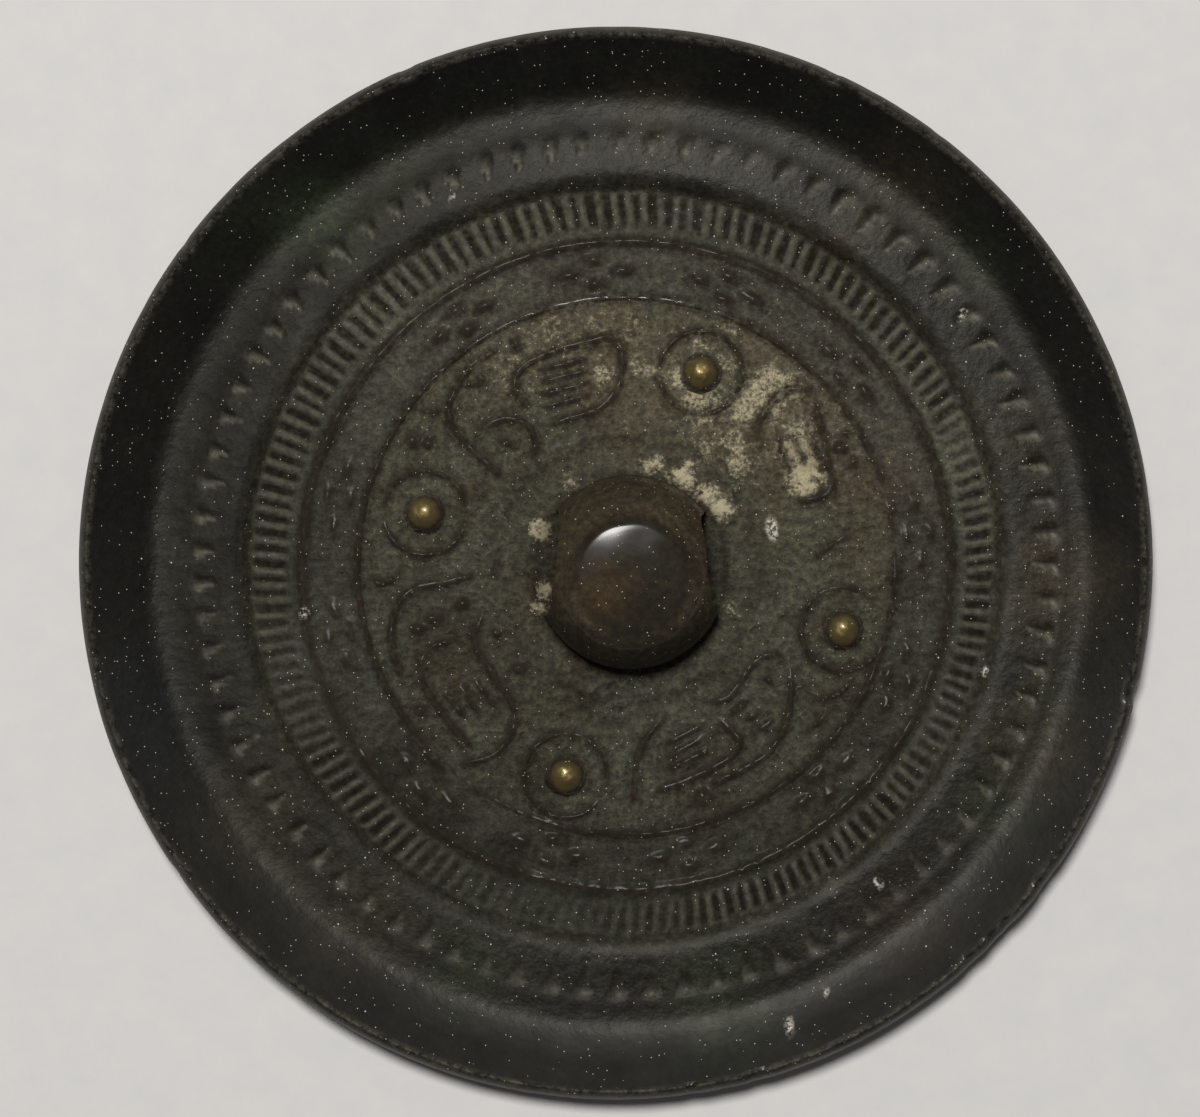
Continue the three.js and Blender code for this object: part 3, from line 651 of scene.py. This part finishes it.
def back_rings():
    """The decorated back, from the lip to the middle."""
    shape = []
    outer = LIP_INNER_RADIUS
    for inner, step, sides in BACK_ZONES:
        count = max(1, round((outer - inner) / step))
        shape += [(outer + (inner - outer) * i / count, sides) for i in range(1, count + 1)]
        outer = inner
    rings = [circle(radius, 0.0, sides, centre_at(radius)) for radius, sides in shape]
    points = np.vstack(rings)
    relief = Relief(points[:, 0], points[:, 1]).gather()
    points[:, 2] = back_height(points[:, 0], points[:, 1], relief)
    return np.split(points, np.cumsum([len(ring) for ring in rings])[:-1])


def stitch(first, second, first_at, second_at):
    """Triangles between two rings that may hold different counts of points."""
    if first == second:
        here = np.arange(first)
        after = (here + 1) % first
        lower = np.column_stack([first_at + here, first_at + after, second_at + after])
        upper = np.column_stack([first_at + here, second_at + after, second_at + here])
        return np.vstack([lower, upper])
    faces = []
    i = j = 0
    while i < first or j < second:
        a, b = first_at + i % first, second_at + j % second
        if j == second or (i < first and (i + 1) * second <= (j + 1) * first):
            faces.append((a, first_at + (i + 1) % first, b))
            i += 1
        else:
            faces.append((a, second_at + (j + 1) % second, b))
            j += 1
    return np.array(faces)


def closed_skin(rings, first_point, last_point):
    """Points and triangles of a closed body from its rings and the two points that close it."""
    counts = [len(ring) for ring in rings]
    starts = 1 + np.concatenate([[0], np.cumsum(counts)[:-1]])
    points = np.vstack([[first_point], *rings, [last_point]])
    turn = np.arange(counts[0])
    faces = [np.column_stack([turn * 0, starts[0] + (turn + 1) % counts[0], starts[0] + turn])]
    for k in range(len(rings) - 1):
        faces.append(stitch(counts[k], counts[k + 1], starts[k], starts[k + 1]))
    turn = np.arange(counts[-1])
    last = turn * 0 + len(points) - 1
    faces.append(np.column_stack([starts[-1] + turn, starts[-1] + (turn + 1) % counts[-1], last]))
    return points, np.vstack(faces)


def new_object(name, points, faces):
    mesh = bpy.data.meshes.new(name)
    mesh.from_pydata((np.asarray(points) * MM).tolist(), [], np.asarray(faces).tolist())
    mesh.update()
    piece = bpy.data.objects.new(name, mesh)
    bpy.context.scene.collection.objects.link(piece)
    return piece


def plate():
    rings = underside_rings() + edge_rings() + back_rings()
    middle = rings[-1].mean(0)
    return new_object("mirror_cast", *closed_skin(rings, (0, 0, 0), middle))


def knob_profile():
    """Radius and height of the knob from its foot to its crown: flank, shoulder and flat dome."""
    rows = []
    shoulder = (KNOB_SHOULDER_RADIUS, KNOB_SHOULDER_HEIGHT)
    curves = [
        ((KNOB_RADIUS, 0), (KNOB_RADIUS, KNOB_FLANK_HEIGHT), shoulder, 12),
        (shoulder, KNOB_TOP_BEND, (KNOB_TOP_RADIUS, KNOB_TOP_HEIGHT), 10),
    ]
    for start, bend, end, count in curves:
        for i in range(count):
            t = i / count
            weights = ((1 - t) ** 2, 2 * t * (1 - t), t * t)
            rows.append([sum(weight * part for weight, part in zip(weights, parts))
                         for parts in zip(start, bend, end)])
    for i in range(12):
        share = 1 - i / 12
        rows.append([KNOB_TOP_RADIUS * share, KNOB_HEIGHT - (KNOB_HEIGHT - KNOB_TOP_HEIGHT) * share ** 3])
    return rows


def knob():
    rings = [circle(KNOB_RADIUS, FIELD_TOP - ROOT, KNOB_SIDES, KNOB_CENTRE)]
    for radius, height in knob_profile():
        share = height / KNOB_HEIGHT
        centre = (KNOB_CENTRE[0] + KNOB_LEAN[0] * share, KNOB_CENTRE[1] + KNOB_LEAN[1] * share)
        ring = circle(radius, FIELD_TOP + height, KNOB_SIDES, centre)
        ring[:, 2] += 0.035 * unevenness(ring[:, 0], ring[:, 1], 2.6, 73) * share
        out = (ring[:, :2] - centre) / max(radius, 1e-6)
        ring[:, :2] += out * (0.05 * unevenness(ring[:, 0] + ring[:, 2], ring[:, 1], 2.2, 79))[:, None]
        rings.append(ring)
    foot = (*KNOB_CENTRE, FIELD_TOP - ROOT)
    crown = rings[-1].mean(0) + (0, 0, 0.01)
    return new_object("knob", *closed_skin(rings, foot, crown))


def cord_hole():
    """The arch through the knob from left to right, wider at its worn mouths."""
    reach = KNOB_RADIUS + 3
    rings = []
    for x in np.linspace(KNOB_CENTRE[0] - reach, KNOB_CENTRE[0] + reach, HOLE_RINGS):
        flare = np.clip((abs(x - KNOB_CENTRE[0]) - 4.4) / 2.6, 0, 1) ** 2
        turn = np.pi * np.arange(HOLE_SIDES + 1) / HOLE_SIDES
        across = np.sign(np.cos(turn)) * np.abs(np.cos(turn)) ** HOLE_POWER
        up = np.abs(np.sin(turn)) ** HOLE_POWER
        ragged = 1 + (0.03 + 0.04 * flare) * unevenness(turn * 3, turn * 0 + x, 1.0, 83)
        y = HOLE_CENTRE_Y + across * (HOLE_HALF_WIDTH + 0.2 * flare) * ragged
        z = FIELD_TOP + up * (HOLE_HEIGHT + HOLE_FLARE * flare) * ragged
        arch = np.column_stack([np.full(HOLE_SIDES + 1, x), y, z])
        floor = [(x, y[-1], FIELD_TOP - ROOT * 2), (x, y[0], FIELD_TOP - ROOT * 2)]
        rings.append(np.vstack([arch, floor]))
    return new_object("cord_hole", *closed_skin(rings, rings[0].mean(0), rings[-1].mean(0)))


def combine(whole, other, operation):
    """Joins or cuts one closed body by another, and deletes the other."""
    step = whole.modifiers.new(operation, "BOOLEAN")
    step.operation = operation
    step.solver = "MANIFOLD"
    step.object = other
    bpy.context.view_layer.update()
    result = bpy.data.meshes.new_from_object(whole.evaluated_get(bpy.context.evaluated_depsgraph_get()))
    whole.modifiers.clear()
    whole.data = result
    bpy.data.objects.remove(other)
    return whole


def linear(colour):
    """A colour given as it looks, as the light that it sends back."""
    share = np.array(colour) / 255
    return np.where(share <= 0.04045, share / 12.92, ((share + 0.055) / 1.055) ** 2.4)


def northern_share(x, y, radius):
    """How pale the inner back lies there: more in the north, less in the south."""
    share = np.interp(y + 0.3 * x, NORTHING, PALENESS)
    return 1 + (share - 1) * np.interp(radius, (34.8, 36.0), (1, 0))


def base_tint(x, y, radius):
    """Broad colour of the back: its zones, and the tinges that cross them."""
    radii = (24.6, 25.6, 29.8, 30.9, 34.9, 36.0, 43.0, 44.2)
    colours = (FIELD_COLOUR, BAND_COLOUR, BAND_COLOUR, COMB_COLOUR, COMB_COLOUR, PLATEAU_COLOUR,
               PLATEAU_COLOUR, RIM_COLOUR)
    wavering = radius + 0.5 * clouds(x, y, 4.0, 89)
    zones = np.array([linear(colour) for colour in colours])
    tint = np.column_stack([np.interp(wavering, radii, zones[:, channel]) for channel in range(3)])
    for (tx, ty), reach, colour, strength in TINGES:
        away = np.hypot(x - tx, y - ty) / reach * (1 + 0.3 * clouds(x, y, 5.0, 97))
        share = (strength * swell(away))[:, None]
        tint = tint * (1 - share) + linear(colour) * share
    return tint * northern_share(x, y, radius)[:, None]


def soil_cover(x, y, radius):
    """Share of the surface that soil covers: patches over a thin scatter that differs by zone."""
    radii = (24.6, 25.6, 30.9, 34.6, 35.6, 43.0, 44.2)
    thin = np.interp(radius, radii, (0.38, 0.26, 0.2, 0.12, 0.08, 0.04, 0))
    thin = thin * (1 + 0.6 * clouds(x, y, 4.5, 101)) * northern_share(x, y, radius) ** 0.6
    return np.clip(np.maximum(thin, 0.35 * thin + 0.85 * soil_at(x, y)), 0, 1)


def fleck_at(x, y):
    share = np.zeros_like(x)
    for (fx, fy), half_length, half_width, degrees in FLECKS:
        turn = math.radians(degrees)
        along = (x - fx) * math.cos(turn) + (y - fy) * math.sin(turn)
        across = (y - fy) * math.cos(turn) - (x - fx) * math.sin(turn)
        away = np.hypot(along / half_length, across / half_width)
        share = np.maximum(share, np.clip(2 * swell(away * 0.75), 0, 1))
    return share


def knob_tints(x, y, z, on_knob):
    """The colours that lie over each other on the knob, each with its share."""
    top_x, top_y = KNOB_CENTRE[0] + KNOB_LEAN[0], KNOB_CENTRE[1] + KNOB_LEAN[1]
    top = np.clip((z - FIELD_TOP - 7.3) / 0.5, 0, 1)
    glow = swell(np.hypot(x - GLOW_PLACE[0], y - GLOW_PLACE[1]) / GLOW_REACH) * top
    # A painted reflection: a paler crescent along the south edge of the top.
    from_edge = np.abs(np.hypot(x - top_x, y - top_y) - KNOB_SHEEN_RADIUS) / KNOB_SHEEN_WIDTH
    worn = swell(from_edge) * np.clip((top_y + 2 - y) / 5, 0, 1) * (z > FIELD_TOP + 6)
    shaded = np.clip((-4.5 - y) / 4, 0, 0.6)
    shares = (1.0, top, glow * 0.85, worn * 0.6, shaded)
    colours = (KNOB_COLOUR, KNOB_TOP_COLOUR, KNOB_GLOW, KNOB_SHEEN_COLOUR, SHADE_AND_DIRT_COLOUR)
    return [(on_knob * share, colour) for share, colour in zip(shares, colours)]


def mark_surface(mesh):
    """Writes what the finish needs at every point: its tint, and how much of each mark it bears."""
    points = np.empty(len(mesh.vertices) * 3, np.float32)
    mesh.vertices.foreach_get("co", points)
    x, y, z = (points.reshape(-1, 3).astype(float) / MM).T
    normals = np.empty(len(mesh.vertices) * 3, np.float32)
    mesh.vertex_normals.foreach_get("vector", normals)
    up = normals.reshape(-1, 3)[:, 2]
    relief = Relief(x, y).gather()
    radius = relief.radius
    outline = np.hypot(x, y)
    below = np.clip(-up * 3, 0, 1) * (outline < BOTTOM_EDGE_RADIUS + 0.2) * (z < FACE_RISE + 0.2)
    flank = np.clip((outline - LIP_OUTER_RADIUS + 0.05) / 0.3, 0, 1)
    knob_away = np.hypot(x - KNOB_CENTRE[0], y - KNOB_CENTRE[1])
    on_knob = (knob_away < KNOB_RADIUS + 0.15) & (z > FIELD_TOP + 0.5)
    on_back = ~(on_knob | (below > 0.5)) * (1 - flank)
    tint = base_tint(x, y, radius)
    tints = [*knob_tints(x, y, z, on_knob), (flank, EDGE_COLOUR), (below, UNDERSIDE_COLOUR)]
    for share, colour in tints:
        tint = tint * (1 - share[:, None]) + linear(colour) * share[:, None]
    on_nipple = np.zeros_like(x)
    for place, _ in NIPPLES:
        on_nipple = np.maximum(on_nipple, np.hypot(x - place[0], y - place[1]) < NIPPLE_RADIUS)
    brass = np.clip((z - FIELD_TOP - 0.85) / 0.7, 0, 1) * on_nipple
    relief.ridge = np.maximum(relief.ridge, np.clip((z - FIELD_TOP - 0.3) / 0.4, 0, 1) * on_nipple)
    near_knob = np.clip(1 - (knob_away - KNOB_RADIUS) / 1.0, 0, 1) * (z < FIELD_TOP + 0.8) * (1 - below)
    # Painted shade along the step wall, strongest in the north, where the wall faces away from the lamp.
    northward = 0.5 + 0.5 * np.sin(np.radians(relief.angle))
    step = (0.2 + 0.65 * northward) * swell(np.abs(radius - STEP_TOP_RADIUS) / 1.1)
    foot = np.maximum(np.clip(relief.foot - relief.ridge * 0.8, 0, 1), step) * on_back
    westward = np.clip(-x / 40, 0, 1)
    grain_radii = (25, 26, 30, 31, 34.8, 35.6, 43.5, 44.5)
    grainy = np.interp(radius, grain_radii, (1, 0.7, 0.7, 0.25, 0.25, 0.2, 0.12, 0.05))
    grainy = grainy + westward * 0.12 * np.interp(radius, (35.0, 36.0, 42.5, 44.0), (0, 1, 1, 0))
    inner_back = np.interp(radius, (34.4, 35.2), (1, 0))
    west_plateau = westward * np.interp(radius, (35.0, 36.0, 42.0, 43.5), (0, 1, 1, 0))
    south_cove = np.clip(-y / 42, 0, 1) * np.interp(radius, (43.9, 46.5), (0, 1))
    rubbed = np.clip(1 - np.abs(outline - RUBBED_LIP_RADIUS) / RUBBED_LIP_WIDTH, 0, 1)
    lip_wear_and_ring_highlight = rubbed * np.clip((z - LIP_TOP + 0.5) / 0.4, 0, 1)
    # A painted highlight along the north part of the inner ring.
    ring_north_highlight = swell(np.abs(radius - INNER_RING["radius"]) / 0.5) * np.clip((y - 21) / 3, 0, 1) * on_back
    values = {
        "soil": soil_cover(x, y, radius) * on_back * (1 - on_nipple),
        "dull": 0.2 * (south_cove + west_plateau + inner_back) * on_back,
        "ridge": relief.ridge * on_back,
        "pale_tops_and_lit_walls": relief.pale_tops_and_lit_walls * on_back,
        # Dark feet and gaps: dirt and painted shade, with painted shade round the knob's foot, on the step
        # wall and on the teeth's shaded walls.
        "foot": np.maximum(foot, 0.7 * near_knob),
        # The rubbed lip, with the painted highlight on the inner ring.
        "lip_wear_and_ring_highlight": np.maximum(lip_wear_and_ring_highlight, 0.6 * ring_north_highlight),
        "brass": brass,
        "fleck": fleck_at(x, y) * on_back,
        "face": below,
        "knob": on_knob * 1.0,
        "grainy": grainy * on_back + 0.1 * (1 - on_back),
    }
    for name, value in values.items():
        layer = mesh.attributes.new(name, "FLOAT", "POINT")
        layer.data.foreach_set("value", value.astype(np.float32))
    layer = mesh.attributes.new("tint", "FLOAT_COLOR", "POINT")
    layer.data.foreach_set("color", np.column_stack([tint, np.ones(len(x))]).astype(np.float32).ravel())


class Finish:
    """A node material that is put together in short steps."""

    def __init__(self, name):
        self.material = bpy.data.materials.new(name)
        self.material.use_nodes = True
        self.tree = self.material.node_tree
        self.shader = self.tree.nodes["Principled BSDF"]
        place = self.node("ShaderNodeTexCoord").outputs["Object"]
        scaled = self.node("ShaderNodeVectorMath", operation="SCALE")
        self.tree.links.new(place, scaled.inputs[0])
        scaled.inputs["Scale"].default_value = 1 / MM
        self.place = scaled.outputs[0]

    def node(self, kind, **settings):
        made = self.tree.nodes.new(kind)
        for name, value in settings.items():
            setattr(made, name, value)
        return made

    def put(self, socket, value):
        if isinstance(value, bpy.types.NodeSocket):
            self.tree.links.new(value, socket)
        elif isinstance(value, (tuple, list, np.ndarray)):
            socket.default_value = (*[float(part) for part in value], 1.0)[:len(socket.default_value)]
        else:
            socket.default_value = value

    def value(self, name):
        return self.node("ShaderNodeAttribute", attribute_name=name).outputs["Fac"]

    def colour(self, name):
        return self.node("ShaderNodeAttribute", attribute_name=name).outputs["Color"]

    def maths(self, operation, first, second=0.0, clamp=False):
        made = self.node("ShaderNodeMath", operation=operation, use_clamp=clamp)
        self.put(made.inputs[0], first)
        self.put(made.inputs[1], second)
        return made.outputs[0]

    def times(self, first, second):
        return self.maths("MULTIPLY", first, second)

    def plus(self, first, second):
        return self.maths("ADD", first, second)

    def mix(self, share, first, second, blend="MIX"):
        made = self.node("ShaderNodeMix", data_type="RGBA", blend_type=blend)
        self.put(made.inputs[0], share)
        self.put(made.inputs[6], first)
        self.put(made.inputs[7], second)
        return made.outputs[2]

    def total(self, start, *parts):
        """start, and to it each value times its weight."""
        for value, weight in parts:
            start = self.plus(start, self.times(value, weight))
        return start

    def noise(self, size, detail, roughness, low, high):
        """Noise with features about size millimetres across, stretched from low..high to 0..1."""
        made = self.node("ShaderNodeTexNoise")
        self.put(made.inputs["Vector"], self.place)
        self.put(made.inputs["Scale"], 1 / size)
        self.put(made.inputs["Detail"], detail)
        self.put(made.inputs["Roughness"], roughness)
        return self.stretch(made.outputs["Fac"], low, high)

    def stretch(self, value, low, high, to_low=0.0, to_high=1.0):
        made = self.node("ShaderNodeMapRange", clamp=True)
        for name, part in (("Value", value), ("From Min", low), ("From Max", high), ("To Min", to_low),
                           ("To Max", to_high)):
            self.put(made.inputs[name], part)
        return made.outputs[0]

    def specks(self, spacing, size, share):
        """Small round spots: about one to each spacing, of which only a share shows."""
        made = self.node("ShaderNodeTexVoronoi", feature="F1")
        self.put(made.inputs["Vector"], self.place)
        self.put(made.inputs["Scale"], 1 / spacing)
        spot = self.stretch(made.outputs["Distance"], size / spacing, size / spacing * 0.6)
        parts = self.node("ShaderNodeSeparateColor")
        self.put(parts.inputs[0], made.outputs["Color"])
        chosen = self.maths("LESS_THAN", parts.outputs[0], share)
        return self.times(spot, chosen)

    def bump(self, height, distance, strength, under=None):
        made = self.node("ShaderNodeBump")
        self.put(made.inputs["Height"], height)
        self.put(made.inputs["Distance"], distance * MM)
        self.put(made.inputs["Strength"], strength)
        if under is not None:
            self.put(made.inputs["Normal"], under)
        return made.outputs[0]


def bronze_finish():
    finish = Finish("patinated_bronze")
    put, times, plus, mix, stretch = finish.put, finish.times, finish.plus, finish.mix, finish.stretch
    names = ("soil", "ridge", "pale_tops_and_lit_walls", "foot", "lip_wear_and_ring_highlight", "brass", "face", "knob", "grainy", "dull")
    soil, ridge, pale_tops_and_lit_walls, foot, lip_wear_and_ring_highlight, brass, face, on_knob, grainy, dull = map(finish.value, names)
    mottle = finish.noise(3.2, 6.0, 0.62, 0.3, 0.7)
    hue = finish.noise(5.5, 5.0, 0.6, 0.35, 0.65)
    fine = finish.noise(0.7, 7.0, 0.75, 0.3, 0.7)
    grains = finish.noise(0.42, 5.0, 0.75, 0.3, 0.7)
    lumps = finish.noise(1.4, 3.0, 0.5, 0.3, 0.7)

    tint = mix(stretch(mottle, 0, 1, 0.0, 0.65), finish.colour("tint"), (0.35, 0.35, 0.33), "MULTIPLY")
    tint = mix(times(hue, times(grainy, 0.6)), tint, linear(OLIVE_TINGE))
    tint = mix(stretch(fine, 0.45, 0.9, 0.0, 0.8), tint, (2.3, 2.2, 2.0), "MULTIPLY")
    tint = mix(stretch(fine, 0.45, 0.05, 0.0, 0.8), tint, (0.35, 0.33, 0.3), "MULTIPLY")
    thickness = finish.total(soil, (grains, 0.6))
    covered = stretch(finish.total(thickness, (lumps, 0.45)), 1.02, 1.35)
    soil_tint = mix(stretch(thickness, 0.7, 1.1), linear(STALE_SOIL_COLOUR), linear(SOIL_COLOUR))
    tint = mix(covered, tint, soil_tint)
    # Pale tops of the comb strokes, and painted light on the lit walls of the sunk teeth.
    patchy_pale_tops_and_lit_walls = times(pale_tops_and_lit_walls, stretch(fine, 0.2, 0.9, 0.35, 1.0))
    tint = mix(times(patchy_pale_tops_and_lit_walls, 0.85), tint, linear(PALE_WEAR_AND_HIGHLIGHT_COLOUR))
    # Dark feet and gaps: dirt and painted shade.
    tint = mix(times(foot, stretch(fine, 0, 1, 0.95, 0.6)), tint, linear(SHADE_AND_DIRT_COLOUR))
    bared = times(ridge, stretch(fine, 0, 1, 0.95, 0.6))
    tint = mix(bared, tint, linear(RIDGE_COLOUR))
    # The rubbed lip, and the painted highlight on the north of the inner ring.
    tint = mix(times(lip_wear_and_ring_highlight, stretch(fine, 0.3, 0.8, 0.1, 0.8)), tint, linear(PALE_WEAR_AND_HIGHLIGHT_COLOUR))
    tint = mix(times(brass, stretch(fine, 0, 1, 0.7, 1.0)), tint, linear(BRASS_COLOUR))
    dust = finish.maths("MAXIMUM", finish.specks(1.3, 0.09, 0.2), finish.specks(0.55, 0.06, 0.6))
    dust = times(dust, stretch(face, 0, 1, 1.0, 0.2))
    tint = mix(times(dust, 0.8), tint, linear(DUST_COLOUR))
    fleck = times(finish.value("fleck"), stretch(grains, 0.4, 0.6))
    tint = mix(fleck, tint, linear(FLECK_COLOUR))
    put(finish.shader.inputs["Base Color"], tint)
    put(finish.shader.inputs["Specular IOR Level"], SPECULAR_LEVEL)
    put(finish.shader.inputs["Specular Tint"], SPECULAR_TINT)

    metal = finish.total(times(brass, 0.85), (lip_wear_and_ring_highlight, 0.4), (face, 0.45), (patchy_pale_tops_and_lit_walls, 0.2))
    metal = times(metal, finish.maths("SUBTRACT", 1.0, plus(covered, dust), clamp=True))
    put(finish.shader.inputs["Metallic"], metal)

    rough = finish.total(stretch(mottle, 0, 1, 0.4, 0.46), (covered, 0.35), (foot, 0.4), (bared, 0.32),
                         (dull, 1.0), (on_knob, 0.36))
    smooth = finish.total(times(face, 0.14), (brass, 0.5), (lip_wear_and_ring_highlight, 0.14))
    put(finish.shader.inputs["Roughness"], finish.maths("SUBTRACT", rough, smooth, clamp=True))
    gloss = finish.total(times(bared, 0.1), (on_knob, 0.42), (lip_wear_and_ring_highlight, 0.5), (brass, 0.4))
    gloss = times(gloss, finish.maths("SUBTRACT", 1.0, covered, clamp=True))
    put(finish.shader.inputs["Coat Weight"], gloss)
    put(finish.shader.inputs["Coat Roughness"], COAT_ROUGHNESS)

    smoothed = times(grainy, stretch(plus(ridge, on_knob), 0, 1, 1.0, 0.15))
    normal = finish.bump(times(lumps, smoothed), 0.22, 1.0)
    normal = finish.bump(times(fine, smoothed), 0.11, 0.9, normal)
    normal = finish.bump(dust, 0.04, 0.5, normal)
    put(finish.shader.inputs["Normal"], normal)
    return finish.material


def floor_finish():
    finish = Finish("pale_floor")
    weave = finish.noise(4.0, 5.0, 0.7, 0.3, 0.7)
    tint = finish.mix(finish.times(weave, 0.35), linear(FLOOR_COLOUR), linear(FLOOR_WEAVE_COLOUR))
    finish.put(finish.shader.inputs["Base Color"], tint)
    finish.put(finish.shader.inputs["Roughness"], 0.9)
    finish.put(finish.shader.inputs["Specular IOR Level"], 0.1)
    return finish.material


def add_mirror():
    whole = combine(plate(), combine(knob(), cord_hole(), "DIFFERENCE"), "UNION")
    whole.name = "mirror_cast"
    whole.data.name = "mirror_cast"
    whole.data.materials.clear()
    whole.data.materials.append(bronze_finish())
    whole.data.shade_smooth()
    whole.data.set_sharp_from_angle(angle=math.radians(SHARP_ANGLE))
    mark_surface(whole.data)
    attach(whole, "root")
    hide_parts("mirror")


def add_floor():
    half = FLOOR_HALF_WIDTH
    corners = [(-half, -half, 0), (half, -half, 0), (half, half, 0), (-half, half, 0)]
    floor = new_object("floor", corners, [(0, 1, 2, 3)])
    floor.data.materials.append(floor_finish())


def add_lights():
    """One broad lamp high over the north, and a little light from all round."""
    lamp = bpy.data.lights.new("main_light", "AREA")
    lamp.shape = "DISK"
    lamp.size = LIGHT_WIDTH
    lamp.energy = LIGHT_POWER
    lamp.color = LIGHT_COLOUR
    holder = bpy.data.objects.new("main_light", lamp)
    bpy.context.scene.collection.objects.link(holder)
    holder.location = LIGHT_PLACE
    way = -np.array(LIGHT_PLACE)
    tilt = math.acos(-way[2] / np.linalg.norm(way))
    holder.rotation_euler = (tilt, 0, math.atan2(way[1], way[0]) - math.pi / 2)
    world = bpy.data.worlds.new("room")
    bpy.context.scene.world = world
    world.use_nodes = True
    background = world.node_tree.nodes["Background"]
    background.inputs["Color"].default_value = (1.0, 1.0, 1.0, 1.0)
    background.inputs["Strength"].default_value = ROOM_LIGHT


def add_camera():
    """Straight above the back, framed so that the photo's scale holds at the plateau."""
    view = bpy.data.cameras.new("camera")
    view.sensor_width = SENSOR_WIDTH
    view.lens = SENSOR_WIDTH * VIEW_DISTANCE / (PHOTO_WIDTH_PIXELS * MM_PER_PIXEL)
    view.clip_start = 0.01
    camera = bpy.data.objects.new("camera", view)
    bpy.context.scene.collection.objects.link(camera)
    camera.location = (VIEW_CENTRE[0] * MM, VIEW_CENTRE[1] * MM, (VIEW_DISTANCE + SHOULDER_TOP) * MM)
    bpy.context.scene.camera = camera
    bpy.context.scene.view_settings.view_transform = "Standard"


add_mirror()
add_floor()
add_lights()
add_camera()
